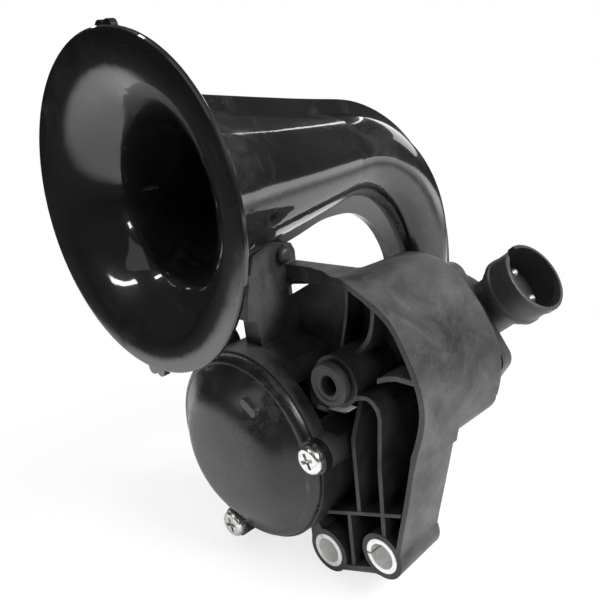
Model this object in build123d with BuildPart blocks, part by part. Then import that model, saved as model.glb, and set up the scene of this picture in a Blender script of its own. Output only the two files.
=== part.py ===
from build123d import *
import math
import os

os.makedirs("parts", exist_ok=True)

# ---------------------------------------------------------------- dimensions
# Row frame: origin midway between the two mounting sleeves on the bosses'
# front face, +X right, +Y to the back, +Z up.  Bell and cap face -Y.

# mounting feet
SLEEVE_R, SLEEVE_BORE_R, SLEEVE_L = 6.0, 4.4, 22.0
BOSS_R, BOSS_D = 8.0, 21.7
FOOT = ((-11.95, -4.15), (11.95, 4.15))          # 25.3 mm apart, 19 degrees

# trumpet, whose centre line lies in the plane x = TX
TX = -40.0
BELL_Z = 120.6                                   # height of the bell's axis
RIM_Y, RIM_R = -37.4, 49.55
WALL = 2.0
FIN_T = 3.2                                      # both weld flanges together

# sound head
HX, HZ = -40.0, 30.35
RING_R, RING_FRONT, RING_BACK = 34.9, -5.7, 22.0
FLANGE_Y, FLANGE_R = -8.8, 34.2                   # front face of the cap's lugs, its edge
SCREW_PCR = 35.5
CAP_ANGLES = (12.4, 121.0, 253.2)
LUG_R = 5.6
LUG_END = (21.0, 7.0, 21.0)                      # how far back each screw lug reaches

# barrel of the valve and its hood
VX, VZ = 0.35, 66.95                             # axis of the hood's arch
PX, PZ = -1.0, 61.8                              # axis of inlet port and valve
BX, BZ = 0.35, 63.65                             # axis of the rear cover's round body
PLATE_F, PLATE_B = 19.7, 21.7                    # back plate of the leg and hood
BARREL_END = 43.0
COVER_F, COVER_B = 44.0, 49.0                    # flange of the rear cover
COVER_SCREWS = ((9.4, 82.6), (25.2, 58.4), (-20.6, 66.0), (-12.0, 47.0))
PIN_Y, PIN_Z = 15.6, 94.0                        # retaining pin of the trumpet

# magnet valve on the inlet's axis
SEAT_Y = 24.2
TRAVEL = 1.0
PLUNGER_R, GUIDE_R = 5.08, 5.15

# connector on the rear cover
CAX = Vector(0.7915, 0, 0.6112)                  # direction it points
CMOUTH = Vector(33.65, 58.7, 83.35)              # centre of its mouth

# ---------------------------------------------------------------- helpers


def at(n, r):
    """Centre of cap screw n on the radius r, as x and z."""
    a = math.radians(CAP_ANGLES[n])
    if n == 1:
        r += 1.3                                 # the lug under the bell sits further out
    return HX + r * math.cos(a), HZ + r * math.sin(a)


def front(y):
    """Plane at depth y whose local axes are the row's X and Z."""
    return Plane(origin=(0, y, 0), x_dir=(1, 0, 0), z_dir=(0, -1, 0))


def con(s, back=0.0):
    """Plane square to the connector's axis, s mm behind its mouth."""
    return Plane(origin=CMOUTH - CAX * s, x_dir=(0, 1, 0), z_dir=CAX)


def arch(y, inset=0.0):
    """Points of the hood's outline at depth y, from its lower right corner
    over the top to its lower left corner, moved inwards by inset."""
    f = [(27.3, 40.3), (28.5, 45.0), (30.6, 51.3), (32.1, 59.0), (31.2, 67.0),
         (27.6, 76.2), (22.8, 84.6), (12.4, 91.4), (0.35, 93.2), (-11.0, 91.2),
         (-20.0, 85.0), (-25.6, 76.0), (-27.0, 65.0), (-27.0, 52.0), (-26.6, 40.3)]
    b = [(27.0, 40.3), (27.9, 44.6), (29.5, 51.0), (30.3, 58.0), (29.0, 66.0),
         (25.2, 74.8), (19.4, 82.6), (10.9, 89.6), (0.35, 91.8), (-9.9, 89.6),
         (-18.0, 83.6), (-23.4, 75.2), (-25.2, 65.0), (-25.0, 52.0), (-24.6, 40.3)]
    t = min(max(y / 40.0, 0.0), 1.0)
    w = 1.0 - (1.0 - t) ** 2
    p = [(a[0] + (c[0] - a[0]) * w, a[1] + (c[1] - a[1]) * w) for a, c in zip(f, b)]
    if inset == 0.0:
        return p
    q = []
    for i, (x, z) in enumerate(p):
        x0, z0 = p[max(i - 1, 0)]
        x1, z1 = p[min(i + 1, len(p) - 1)]
        dx, dz = x1 - x0, z1 - z0
        n = math.hypot(dx, dz)
        q.append((x - dz / n * inset, z + dx / n * inset))
    q[0] = (q[0][0], q[0][1] + inset)
    q[-1] = (q[-1][0], q[-1][1] + inset)
    return q


# ---------------------------------------------------------------- trumpet
# centre line (y, z), outer radius and heading of the tube behind the flare
BEND1 = (47.5, 72.0, 50.0)                       # centre and radius, upper bend
BEND2 = (55.85, 72.0, 41.65)                     # lower bend, hidden behind
tube = [(47.5, BELL_Z, 15.6, 0.0)]
for deg, r, d in ((10, 15.0, 0.9), (20, 14.6, 0.4), (32, 14.2, 0.1), (45, 13.7, 0.0), (60, 13.0, 0.0),
                  (75, 12.1, 0.0), (90, 11.0, 0.0)):
    a = math.radians(deg)
    tube.append((BEND1[0] + (BEND1[2] - d) * math.sin(a), BEND1[1] + (BEND1[2] - d) * math.cos(a), r, -deg))
for deg, r in ((22, 10.4), (45, 9.9), (68, 9.4), (90, 9.0)):
    a = math.radians(deg)
    tube.append((BEND2[0] + BEND2[2] * math.cos(a), BEND2[1] - BEND2[2] * math.sin(a), r, -90 - deg))
tube.append((42.0, HZ, 8.4, -180.0))

# outer and inner outline of the bell and the straight part, y and radius
flare = [(30.0, 18.25), (17.0, 20.2), (5.0, 22.1), (-5.0, 23.9), (-10.4, 25.0), (-16.0, 26.1), (-22.4, 28.2), (-26.1, 30.4), (-29.3, 33.4),
         (-31.9, 37.0), (-33.8, 41.0), (-35.0, 45.2), (-35.7, 49.3)]
flare_in = [(30.0, 16.25), (17.0, 18.2), (5.0, 20.1), (-5.0, 21.8), (-10.4, 22.8), (-17.0, 23.8), (-23.4, 25.25), (-27.4, 28.05), (-30.8, 31.5),
            (-33.6, 35.5), (-35.7, 39.9), (-36.9, 44.6)]

with BuildPart() as bell:
    with BuildSketch(Plane.XY.offset(BELL_Z)):
        with BuildLine():
            l1 = Line((TX + 13.6, 47.5), (TX + 15.6, 47.5))
            l2 = Spline(l1 @ 1, *[(TX + r, y) for y, r in flare])
            l3 = Polyline(l2 @ 1, (TX + RIM_R, -36.0), (TX + RIM_R, -37.0), (TX + 49.2, RIM_Y), (TX + 48.6, RIM_Y))
            l4 = Spline(l3 @ 1, *[(TX + r, y) for y, r in reversed(flare_in)], l1 @ 0)
        make_face()
    revolve(axis=Axis((TX, 0, BELL_Z), (0, 1, 0)), revolution_arc=360)

with BuildPart() as horn_tube:
    for y, z, r, head in tube:
        h = math.radians(head)
        with BuildSketch(Plane(origin=(TX, y, z), x_dir=(1, 0, 0), z_dir=(0, math.cos(h), math.sin(h)))):
            Circle(r)
    loft()
    for y, z, r, head in tube:
        h = math.radians(head)
        with BuildSketch(Plane(origin=(TX, y, z), x_dir=(1, 0, 0), z_dir=(0, math.cos(h), math.sin(h)))):
            Circle(r - WALL)
    loft(mode=Mode.SUBTRACT)

# straight spigot that plugs into the sound head, with the groove of its seal
with BuildPart() as spigot:
    with BuildSketch(Plane.XY.offset(HZ)):
        with BuildLine():
            Polyline((HX + 6.4, 42.0), (HX + 8.4, 42.0), (HX + 8.0, 30.0), (HX + 8.0, 19.2), (HX + 6.9, 19.2),
                     (HX + 6.9, 17.6), (HX + 8.0, 17.6), (HX + 8.0, 15.2), (HX + 6.0, 15.2), (HX + 6.0, 30.0), close=True)
        make_face()
    revolve(axis=Axis((HX, 0, HZ), (0, 1, 0)), revolution_arc=360)

with BuildPart() as trumpet_void:
    with BuildSketch(Plane.XY.offset(BELL_Z)):
        with BuildLine():
            l1 = Line((TX, 47.5), (TX + 14.1, 47.5))
            l2 = Spline((TX + 14.1, 47.5), *[(TX + r + 0.5, y) for y, r in flare_in])
            l3 = Polyline(l2 @ 1, (TX + 45.1, -42.0), (TX, -42.0))
            Line(l3 @ 1, l1 @ 0)
        make_face()
    revolve(axis=Axis((TX, 0, BELL_Z), (0, 1, 0)), revolution_arc=360)
    for y, z, r, head in tube:
        h = math.radians(head)
        with BuildSketch(Plane(origin=(TX, y, z), x_dir=(1, 0, 0), z_dir=(0, math.cos(h), math.sin(h)))):
            Circle(r - WALL + 0.5)
    loft()

# weld flange round the seam, in local y and z
fin_out = [(-34.9, 169.0), (-31.4, 162.4), (-26.9, 156.3), (-21.2, 152.5), (-15.2, 150.6), (-4.5, 148.7),
           (9.4, 146.6), (26.5, 144.1),
           (45.4, 141.6), (57.2, 139.9), (71.7, 134.9), (80.7, 129.9), (87.0, 125.3), (92.3, 120.5),
           (96.6, 115.9), (100.7, 111.0), (103.9, 106.3), (106.8, 101.5), (109.3, 97.0), (111.2, 92.5),
           (112.9, 87.8), (114.1, 83.2), (115.1, 78.5), (115.7, 72.0), (115.7, 65.0), (114.0, 54.0),
           (109.2, 43.4), (101.0, 32.8), (90.0, 24.0), (77.0, 18.0), (63.0, 15.4), (48.0, 15.6), (36.0, 17.0)]
fin_in = [(36.0, 41.6), (46.0, 42.4), (56.0, 43.4), (65.0, 47.0), (72.0, 54.0), (75.6, 63.0), (75.9, 70.0),
          (75.1, 76.9), (72.2, 84.0), (67.2, 91.3), (61.0, 96.5), (53.7, 99.6), (46.4, 100.4),
          (39.3, 100.3), (31.2, 98.7), (23.4, 97.1), (20.4, 96.6)]
with BuildPart() as weld_fin:
    with BuildSketch(Plane.YZ.offset(TX - FIN_T / 2)):
        with BuildLine():
            f1 = Spline(*fin_out)
            f2 = Line(f1 @ 1, fin_in[0])
            f3 = Spline(*fin_in)
            f4 = Polyline(f3 @ 1, (20.4, 90.6), (11.2, 90.6), (11.2, 99.2), (-4.0, 96.2), (-9.0, 94.0),
                          (-15.2, 90.8), (-21.2, 88.7), (-26.9, 84.9), (-31.4, 78.8), (-34.9, 72.2), (-34.9, 169.0))
        make_face()
    extrude(amount=FIN_T)
    # small two-lobed ears on the rim, top and bottom
    for y, z in ((-35.2, BELL_Z + 49.0), (-37.2, BELL_Z - 49.5)):
        with BuildSketch(front(y)):
            with Locations((TX - 2.0, z), (TX + 2.0, z)):
                Circle(2.1)
        extrude(amount=-2.2)

    add(trumpet_void.part, mode=Mode.SUBTRACT)

with BuildPart() as trumpet_body:
    add(bell.part)
    add(horn_tube.part)
    add(spigot.part)
    add(weld_fin.part)
    # hole for the retaining pin through the tab under the tube
    with BuildSketch(Plane.YZ.offset(TX - 5)):
        with Locations((PIN_Y, PIN_Z)):
            Circle(1.8)
    extrude(amount=10, mode=Mode.SUBTRACT)

with BuildPart() as trumpet_right_half:
    add(trumpet_body.part)
    split(bisect_by=Plane.YZ.offset(TX), keep=Keep.TOP)
    # drain hole low on the tube
    with BuildSketch(Plane(origin=(TX + 16.1, -1.8, 114.4), x_dir=(0, 1, 0), z_dir=(0.93, 0, -0.37))):
        SlotOverall(3.8, 2.6, rotation=0)
    extrude(amount=12, mode=Mode.SUBTRACT)
with BuildPart() as trumpet_left_half:
    add(trumpet_body.part)
    split(bisect_by=Plane.YZ.offset(TX), keep=Keep.BOTTOM)

# ---------------------------------------------------------------- housing
# right wall of the leg, outside, at the front and (1 mm of draft) at the back
leg_f = [(27.5, 41.7), (25.4, 32.2), (23.2, 23.0), (20.4, 11.8), (18.9, 4.5), (13.0, -3.6)]
leg_b = [(26.4, 41.7), (24.2, 32.2), (22.0, 23.0), (19.2, 11.8), (17.5, 4.5), (12.4, -2.8)]
leg_rest = [(8.6, -3.9), (-4.6, -8.9), (-12.0, -11.5), (-19.0, -7.5), (-19.6, -2.0), (-19.6, 6.0), (-24.0, 41.7)]
leg_in_f = [(26.4, 45.0), (25.8, 41.7), (23.7, 32.2), (21.5, 23.0), (18.7, 11.8), (16.6, 3.0)]
leg_in_b = [(25.3, 45.0), (24.7, 41.7), (22.6, 32.2), (20.3, 23.0), (17.5, 11.8), (15.6, 3.0)]
leg_in_rest = [(8.0, -1.8), (-4.0, -6.6), (-7.0, -7.6), (-16.0, 6.0), (-22.0, 14.0), (-24.5, 45.0)]

with BuildPart() as leg_pocket:
    for y, p in ((-1.0, leg_in_f), (PLATE_F, leg_in_b)):
        with BuildSketch(front(y)):
            with BuildLine():
                Polyline(*p, *leg_in_rest, close=True)
            make_face()
    loft(ruled=True)
    with BuildSketch(front(-2.0)):
        with Locations((HX, HZ)):
            Circle(RING_R)
        with Locations(at(0, SCREW_PCR)):
            Circle(LUG_R)
    extrude(amount=-(PLATE_F + 4), mode=Mode.SUBTRACT)
    for x, z in FOOT:
        with BuildSketch(front(-1.0)):
            with Locations((x, z)):
                Circle(BOSS_R)
        with BuildSketch(front(BOSS_D)):
            with Locations((x, z)):
                Circle(BOSS_R - 1.0)
        loft(mode=Mode.SUBTRACT)

# open space left of the hood, between the sound head and the arm: below the
# arm it is open down to the plate, above it follows the arm's swept front edge
with BuildPart() as left_opening:
    with BuildSketch(front(-2.0)):
        with BuildLine():
            Polyline((-36.0, 50.0), (-36.0, 85.3), (-23.4, 85.4), (-13.9, 87.6), (-6.0, 89.2), (-6.0, 50.0), close=True)
        make_face()
    extrude(amount=-(PLATE_F + 2.0))
    with BuildSketch(Plane.XY.offset(50.0)):
        with BuildLine():
            Polyline((14.0, -2.0), (14.0, 0.0), (8.0, 1.5), (2.0, 4.2), (-4.0, 7.7), (-10.0, 11.0), (-17.0, 14.6),
                     (-25.0, 16.5), (-36.0, 16.5), (-36.0, -2.0), close=True)
        make_face()
    extrude(amount=50.0)
    with BuildSketch(front(-3.0)):
        with Locations((HX, HZ)):
            Circle(RING_R)
    extrude(amount=-(PLATE_F + 5), mode=Mode.SUBTRACT)

with BuildPart() as bracket_housing:
    # sound head: round cup with its three screw lugs
    with BuildSketch(front(RING_FRONT)):
        with Locations((HX, HZ)):
            Circle(RING_R)
    extrude(amount=-(RING_BACK - RING_FRONT))
    for n in range(3):
        with BuildSketch(front(RING_FRONT)):
            with Locations(at(n, SCREW_PCR)):
                Circle(LUG_R)
        extrude(amount=-(LUG_END[n] - RING_FRONT))
    # leg with its side wall, floor and the two feet
    for y, p in ((0.0, leg_f), (BOSS_D, leg_b)):
        with BuildSketch(front(y)):
            with BuildLine():
                Polyline(*p, *leg_rest, close=True)
            make_face()
    loft(ruled=True)
    for x, z in FOOT:
        with BuildSketch(front(0)):
            with Locations((x, z)):
                Circle(BOSS_R)
        with BuildSketch(front(BOSS_D)):
            with Locations((x, z)):
                Circle(BOSS_R - 1.0)
        loft()
    # hood at the front and barrel of the valve behind it
    for y in (0.0, 10.0, 22.0, BARREL_END):
        with BuildSketch(front(y)):
            with BuildLine():
                c1 = Spline(*arch(y))
                Line(c1 @ 1, c1 @ 0)
            make_face()
    loft()
    # rounded lower corners of the barrel, beside it and at its rear
    with BuildSketch(front(21.9)):
        with BuildLine():
            k1 = ThreePointArc((20.5, 40.3), (26.0, 42.6), (28.3, 47.6))
            Polyline(k1 @ 1, (34.0, 47.6), (34.0, 38.0), (20.5, 38.0), k1 @ 0)
        make_face()
    extrude(amount=-24.0, mode=Mode.SUBTRACT)
    with BuildSketch(Plane.YZ.offset(-31.0)):
        with BuildLine():
            k1 = ThreePointArc((37.5, 40.3), (41.4, 41.8), (43.0, 45.5))
            Polyline(k1 @ 1, (45.0, 45.5), (45.0, 38.0), (37.5, 38.0), k1 @ 0)
        make_face()
    extrude(amount=66.0, mode=Mode.SUBTRACT)
    # plate between the barrel and the spine
    with BuildSketch(front(PLATE_F)):
        with BuildLine():
            Polyline((-40.0, 60.0), (-40.0, 88.0), (-20.0, 89.5), (-6.0, 90.0), (-6.0, 45.0), close=True)
        make_face()
    extrude(amount=-2.2)
    # spine under the neck of the trumpet
    with BuildSketch(Plane.YZ.offset(TX - 4.0)):
        with BuildLine():
            Polyline((2.2, 60.0), (1.9, 74.0), (-2.4, 75.6), (-1.2, 84.0), (3.0, 96.6), (11.0, 99.4), (20.4, 96.9),
                     (21.9, 94.0), (21.9, 60.0), close=True)
        make_face()
    extrude(amount=8.0)
    # round boss of the retaining pin
    with BuildSketch(Plane.YZ.offset(TX - 4.6)):
        with Locations((PIN_Y, PIN_Z)):
            Circle(3.4)
    extrude(amount=9.2)

    # ------------------------------------------------ hollows
    # pocket under the hood
    for y in (-0.5, 10.0, PLATE_F):
        with BuildSketch(front(y)):
            with BuildLine():
                c1 = Spline(*arch(y, 1.9))
                Line(c1 @ 1, c1 @ 0)
            make_face()
    loft(mode=Mode.SUBTRACT)
    add(leg_pocket.part, mode=Mode.SUBTRACT)
    # chamber of the valve, open to the back; its floor is thick
    for y in (PLATE_B, 33.0, BARREL_END + 0.5):
        with BuildSketch(front(y)):
            with BuildLine():
                c1 = Spline(*arch(y, 2.4)[1:-1])
                Polyline(c1 @ 1, (-22.4, 48.2), (25.4, 48.2), c1 @ 0)
            make_face()
    loft(mode=Mode.SUBTRACT)
    # arm from the hood's roof to the spine, then the open space below and in front of it
    with BuildSketch(front(0.0)):
        with BuildLine():
            Polyline((-37.0, 85.3), (-23.4, 85.4), (-13.9, 87.6), (-6.0, 89.4), (2.0, 91.4), (-2.0, 92.3), (-8.0, 91.2),
                     (-22.0, 90.8), (-37.0, 90.4), close=True)
        make_face()
    extrude(amount=-21.9)
    add(left_opening.part, mode=Mode.SUBTRACT)
    # slit through the plate below the arm, beside the spine
    with BuildSketch(front(17.0)):
        with BuildLine():
            Polyline((-39.5, 81.8), (-28.5, 83.4), (-35.3, 79.6), (-38.5, 77.6), (-39.5, 77.4), close=True)
        make_face()
    extrude(amount=-8.0, mode=Mode.SUBTRACT)

    # ------------------------------------------------ inside of the pockets
    # cross rib, along the line of the two feet
    with BuildSketch(front(0.4)):
        with BuildLine():
            Polyline((-11.0, 10.6), (20.4, 21.5), (20.8, 22.9), (-11.4, 11.8), (-11.0, 10.6))
        make_face()
    extrude(amount=-(PLATE_F - 0.2))
    # upright ribs, below and above it
    with BuildSketch(front(0.4)):
        with BuildLine():
            Polyline((-1.9, -6.4), (-0.4, -5.8), (-0.4, 15.0), (-1.9, 14.5), close=True)
        make_face()
    extrude(amount=-(PLATE_F - 0.2))
    with BuildSketch(front(0.3)):
        with BuildLine():
            Polyline((12.5, 11.5), (14.0, 11.5), (14.1, 21.0), (14.4, 35.9), (15.4, 46.4), (16.0, 53.4), (15.4, 56.4),
                     (13.6, 58.7), (11.2, 59.7), (8.2, 59.3), (5.6, 58.6), (5.6, 56.9), (8.5, 57.8), (10.8, 58.2),
                     (12.5, 57.4), (14.0, 55.5), (14.5, 53.2), (13.9, 46.4), (12.9, 35.9), (12.6, 21.0), close=True)
        make_face()
    extrude(amount=-(PLATE_F - 0.1))
    with BuildSketch(Plane.YZ.offset(2.6)):
        with BuildLine():
            Polyline((0.6, 16.0), (0.6, 43.0), (4.0, 50.0), (7.0, 57.0), (PLATE_F + 0.2, 57.0), (PLATE_F + 0.2, 16.0),
                     close=True)
        make_face()
    extrude(amount=1.5)
    # two curved ribs between the port and the roof of the hood
    with BuildSketch(front(11.0)):
        with BuildLine():
            r1 = Spline((-9.0, 66.0), (-5.6, 77.5), (-4.3, 85.3), (-4.1, 90.6))
            r2 = Spline((-2.9, 90.6), (-3.1, 85.3), (-4.4, 77.5), (-7.8, 66.0))
            Line(r1 @ 1, r2 @ 0)
            Line(r2 @ 1, r1 @ 0)
        make_face()
    extrude(amount=-(PLATE_F - 10.8))
    with BuildSketch(front(6.0)):
        with BuildLine():
            r1 = Spline((2.2, 69.3), (4.4, 72.1), (6.7, 74.5), (9.0, 79.0), (9.9, 83.3), (10.2, 89.6))
            r2 = Spline((11.5, 89.6), (11.2, 83.0), (10.3, 78.5), (8.0, 73.6), (5.2, 70.6), (3.0, 68.4))
            Line(r1 @ 1, r2 @ 0)
            Line(r2 @ 1, r1 @ 0)
        make_face()
    extrude(amount=-(PLATE_F - 5.8))
    # shelf between the port and the side wall
    with BuildSketch(front(0.3)):
        with BuildLine():
            Polyline((15.4, 66.6), (18.9, 68.2), (22.5, 69.1), (28.6, 69.1), (29.0, 67.5), (22.6, 67.5), (19.2, 66.6),
                     (15.4, 65.0), close=True)
        make_face()
    extrude(amount=-(PLATE_F - 0.1))
    # boss of the air inlet
    with BuildSketch(front(-0.2)):
        with Locations((PX, PZ)):
            Circle(8.55)
    extrude(amount=-(PLATE_B + 0.2))
    # duct from the valve to the sound head
    with BuildSketch(front(10.6)):
        with BuildLine():
            Polyline((-4.3, 64.7), (-16.9, 53.8), (-12.6, 46.6), (3.7, 56.2), close=True)
        make_face()
    extrude(amount=-(PLATE_F - 10.4))
    # bosses of the cover's screws inside the barrel
    with BuildSketch(front(28.0)):
        with Locations(*COVER_SCREWS):
            Circle(4.2)
        with Locations(Location((12.2, 87.4, 0), (0, 0, 60.0))):
            Rectangle(10.0, 6.0)
        with Locations((-12.0, 45.4), (-24.0, 66.0)):
            Rectangle(7.0, 7.0)
        with BuildLine():
            c1 = Spline(*arch(38.0, 0.8))
            Line(c1 @ 1, c1 @ 0)
        make_face(mode=Mode.INTERSECT)
    extrude(amount=-(BARREL_END - 28.0))
    # valve seat on the back of the plate
    with BuildSketch(front(PLATE_B - 0.5)):
        with Locations((PX, PZ)):
            Circle(2.6)
    extrude(amount=-(SEAT_Y - PLATE_B + 0.5))

    # ------------------------------------------------ sound head, inside
    with BuildSketch(front(RING_FRONT)):
        with Locations((HX, HZ)):
            Circle(31.0)
    extrude(amount=-1.2, mode=Mode.SUBTRACT)
    with BuildSketch(front(-4.5)):
        with Locations((HX, HZ)):
            Circle(27.5)
            Circle(9.0, mode=Mode.SUBTRACT)
    extrude(amount=-15.1, mode=Mode.SUBTRACT)
    with BuildSketch(front(RING_BACK)):
        with Locations((HX, HZ)):
            Circle(31.6)
            Circle(12.0, mode=Mode.SUBTRACT)
            with PolarLocations(0, 6, 15):
                with Locations((22.0, 0)):
                    Rectangle(22.0, 1.8, mode=Mode.SUBTRACT)
        with Locations(*[at(n, SCREW_PCR) for n in range(3)]):
            Circle(LUG_R, mode=Mode.SUBTRACT)
        with Locations((-21.2, 47.9)):
            Circle(4.0, mode=Mode.SUBTRACT)
        with Locations((-29.0, 54.0)):
            Circle(6.5, mode=Mode.SUBTRACT)
    extrude(amount=9.0, mode=Mode.SUBTRACT)
    with BuildSketch(front(RING_FRONT - 1)):
        with Locations((HX, HZ)):
            Circle(6.0)
    extrude(amount=-(RING_BACK - RING_FRONT + 2), mode=Mode.SUBTRACT)
    with BuildSketch(front(14.9)):
        with Locations((HX, HZ)):
            Circle(8.2)
    extrude(amount=-8.0, mode=Mode.SUBTRACT)
    with BuildSketch(front(RING_FRONT - 1)):
        with Locations(*[at(n, SCREW_PCR) for n in range(3)]):
            Circle(2.0)
    extrude(amount=-12.5, mode=Mode.SUBTRACT)
    # ------------------------------------------------ bores
    with BuildSketch(front(-1)):
        with Locations(*FOOT):
            Circle(SLEEVE_R)
    extrude(amount=-(BOSS_D + 2), mode=Mode.SUBTRACT)
    with BuildSketch(front(-1.0)):
        with Locations((PX, PZ)):
            Circle(6.5)
    extrude(amount=-10.0, mode=Mode.SUBTRACT)
    with BuildSketch(front(9.0)):
        with Locations((PX, PZ)):
            Circle(6.5)
            Circle(4.9, mode=Mode.SUBTRACT)
    extrude(amount=-2.5, mode=Mode.SUBTRACT)
    with BuildSketch(front(1.0)):
        with Locations((PX, PZ)):
            Circle(3.4)
    extrude(amount=-10.5, mode=Mode.SUBTRACT)
    with BuildSketch(front(11.0)):
        with Locations((PX, PZ)):
            Circle(1.4)
    extrude(amount=-(SEAT_Y - 10.0), mode=Mode.SUBTRACT)
    # annular groove round the seat, groove of its seal
    with BuildSketch(front(PLATE_B + 0.01)):
        with Locations((PX, PZ)):
            Circle(5.6)
            Circle(2.6, mode=Mode.SUBTRACT)
    extrude(amount=4.5, mode=Mode.SUBTRACT)
    with BuildSketch(front(PLATE_B)):
        with Locations((PX, PZ)):
            Circle(8.6)
            Circle(6.6, mode=Mode.SUBTRACT)
    extrude(amount=1.4, mode=Mode.SUBTRACT)
    # way from that groove down to the sound head's chamber
    duct = Vector(-21.2 - PX, 0, 47.9 - PZ).normalized()
    with BuildSketch(front(PLATE_B)):
        with Locations((PX + duct.X * 4.1, PZ + duct.Z * 4.1)):
            Circle(1.4)
    extrude(amount=8.6, mode=Mode.SUBTRACT)
    with BuildSketch(Plane(origin=(PX + duct.X * 4.0, 14.6, PZ + duct.Z * 4.0), x_dir=(0, 1, 0), z_dir=duct)):
        Circle(1.4)
    extrude(amount=20.5, mode=Mode.SUBTRACT)
    with BuildSketch(front(14.6)):
        with Locations((-21.2, 47.9)):
            Circle(1.4)
    extrude(amount=6.0, mode=Mode.SUBTRACT)
    # slot that takes the trumpet's tab, and the hole of its pin
    with BuildSketch(Plane.YZ.offset(TX - 1.7)):
        with BuildLine():
            Polyline((-6.0, 90.4), (24.0, 90.4), (24.0, 104.0), (-6.0, 104.0), (-6.0, 90.4))
        make_face()
    extrude(amount=3.4, mode=Mode.SUBTRACT)
    with BuildSketch(Plane.YZ.offset(TX - 6)):
        with Locations((PIN_Y, PIN_Z)):
            Circle(1.8)
    extrude(amount=12, mode=Mode.SUBTRACT)
    with BuildSketch(front(BARREL_END + 1)):
        with Locations(*COVER_SCREWS):
            Circle(1.6)
    extrude(amount=13.0, mode=Mode.SUBTRACT)

# ---------------------------------------------------------------- sound head
with BuildPart() as sound_head_cap:
    with BuildSketch(Plane.XY.offset(HZ)):
        with BuildLine():
            d1 = Spline((HX, -18.4), (HX + 10.0, -17.9), (HX + 17.0, -16.9), (HX + 21.5, -15.4), (HX + 24.0, -13.9),
                        (HX + 27.7, -11.3), (HX + 31.0, -9.0), tangents=((1, 0), (0.8, 0.6)))
            d2 = ThreePointArc(d1 @ 1, (HX + 33.3, -7.9), (HX + FLANGE_R, RING_FRONT))
            d3 = Polyline(d2 @ 1, (HX + 26.4, RING_FRONT), (HX + 26.0, -9.6))
            d4 = Spline(d3 @ 1, (HX + 22.8, -12.0), (HX + 20.3, -13.6), (HX + 16.4, -15.0), (HX + 10.0, -15.9),
                        (HX, -16.4), tangents=((-0.8, -0.6), (-1, 0)))
            Line(d4 @ 1, d1 @ 0)
        make_face()
    revolve(axis=Axis((HX, 0, HZ), (0, 1, 0)), revolution_arc=360)
    with BuildSketch(front(RING_FRONT)):
        with Locations(*[at(n, SCREW_PCR) for n in range(3)]):
            Circle(LUG_R)
        with Locations((HX, HZ)):
            Circle(30.0, mode=Mode.SUBTRACT)
    extrude(amount=RING_FRONT - FLANGE_Y)
    # oblong mark on the dome's shoulder
    a = math.radians(59.4)
    with BuildSketch(Plane(origin=(HX + 24.6 * math.cos(a), -12.2, HZ + 24.6 * math.sin(a)),
                           x_dir=(math.sin(a), 0, -math.cos(a)), z_dir=(0, -1, 0))):
        SlotOverall(7.6, 3.4)
    extrude(amount=2.3)
    # flat seats of the screw heads, and their holes
    with BuildSketch(front(FLANGE_Y)):
        with Locations(*[at(n, SCREW_PCR) for n in range(3)]):
            Circle(5.0)
    extrude(amount=6.0, mode=Mode.SUBTRACT)
    with BuildSketch(front(FLANGE_Y - 5)):
        with Locations(*[at(n, SCREW_PCR) for n in range(3)]):
            Circle(2.1)
    extrude(amount=-12.0, mode=Mode.SUBTRACT)

with BuildPart() as cap_screws:
    with BuildSketch(front(FLANGE_Y)):
        with Locations(*[at(n, SCREW_PCR) for n in range(3)]):
            Circle(4.9)
    extrude(amount=2.8)
    fillet(cap_screws.edges().group_by(Axis.Y)[0], 1.5)
    with BuildSketch(front(FLANGE_Y)):
        with Locations(*[at(n, SCREW_PCR) for n in range(3)]):
            Circle(1.95)
    extrude(amount=-14.0)
    for n in range(3):
        with BuildSketch(front(FLANGE_Y - 1.2)):
            with Locations(at(n, SCREW_PCR)):
                Rectangle(5.4, 1.2, rotation=25 + 40 * n)
                Rectangle(5.4, 1.2, rotation=115 + 40 * n)
        extrude(amount=3.0, mode=Mode.SUBTRACT)

with BuildPart() as diaphragm:
    with BuildSketch(front(-4.5)):
        with Locations((HX, HZ)):
            Circle(30.8)
    extrude(amount=0.4)
    # shallow pressed rings that make it springy
    with BuildSketch(front(-4.9)):
        with Locations((HX, HZ)):
            Circle(22.0)
            Circle(20.6, mode=Mode.SUBTRACT)
            Circle(13.4)
            Circle(12.0, mode=Mode.SUBTRACT)
    extrude(amount=0.3)

with BuildPart() as diaphragm_ring:
    with BuildSketch(front(-4.9)):
        with Locations((HX, HZ)):
            Circle(30.8)
            Circle(27.0, mode=Mode.SUBTRACT)
    extrude(amount=0.8)

with BuildPart() as throat_seal:
    with BuildSketch(Plane.XY.offset(HZ)):
        with Locations((HX + 7.55, 18.4)):
            Circle(0.65)
    revolve(axis=Axis((HX, 0, HZ), (0, 1, 0)), revolution_arc=360)

# ---------------------------------------------------------------- fastening
with BuildPart() as mount_sleeve_left:
    with BuildSketch(front(-0.15)):
        with Locations(FOOT[0]):
            Circle(SLEEVE_R)
            Circle(SLEEVE_BORE_R, mode=Mode.SUBTRACT)
            # the slit of the rolled tube
            with Locations(Location((0, 0, 0), (0, 0, 121.0))):
                with Locations((5.0, 0)):
                    Rectangle(5.0, 0.7, mode=Mode.SUBTRACT)
    extrude(amount=-SLEEVE_L)

with BuildPart() as mount_sleeve_right:
    with BuildSketch(front(-0.15)):
        with Locations(FOOT[1]):
            Circle(SLEEVE_R)
            Circle(SLEEVE_BORE_R, mode=Mode.SUBTRACT)
            # the slit of the rolled tube
            with Locations(Location((0, 0, 0), (0, 0, 188.0))):
                with Locations((5.0, 0)):
                    Rectangle(5.0, 0.7, mode=Mode.SUBTRACT)
    extrude(amount=-SLEEVE_L)

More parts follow.
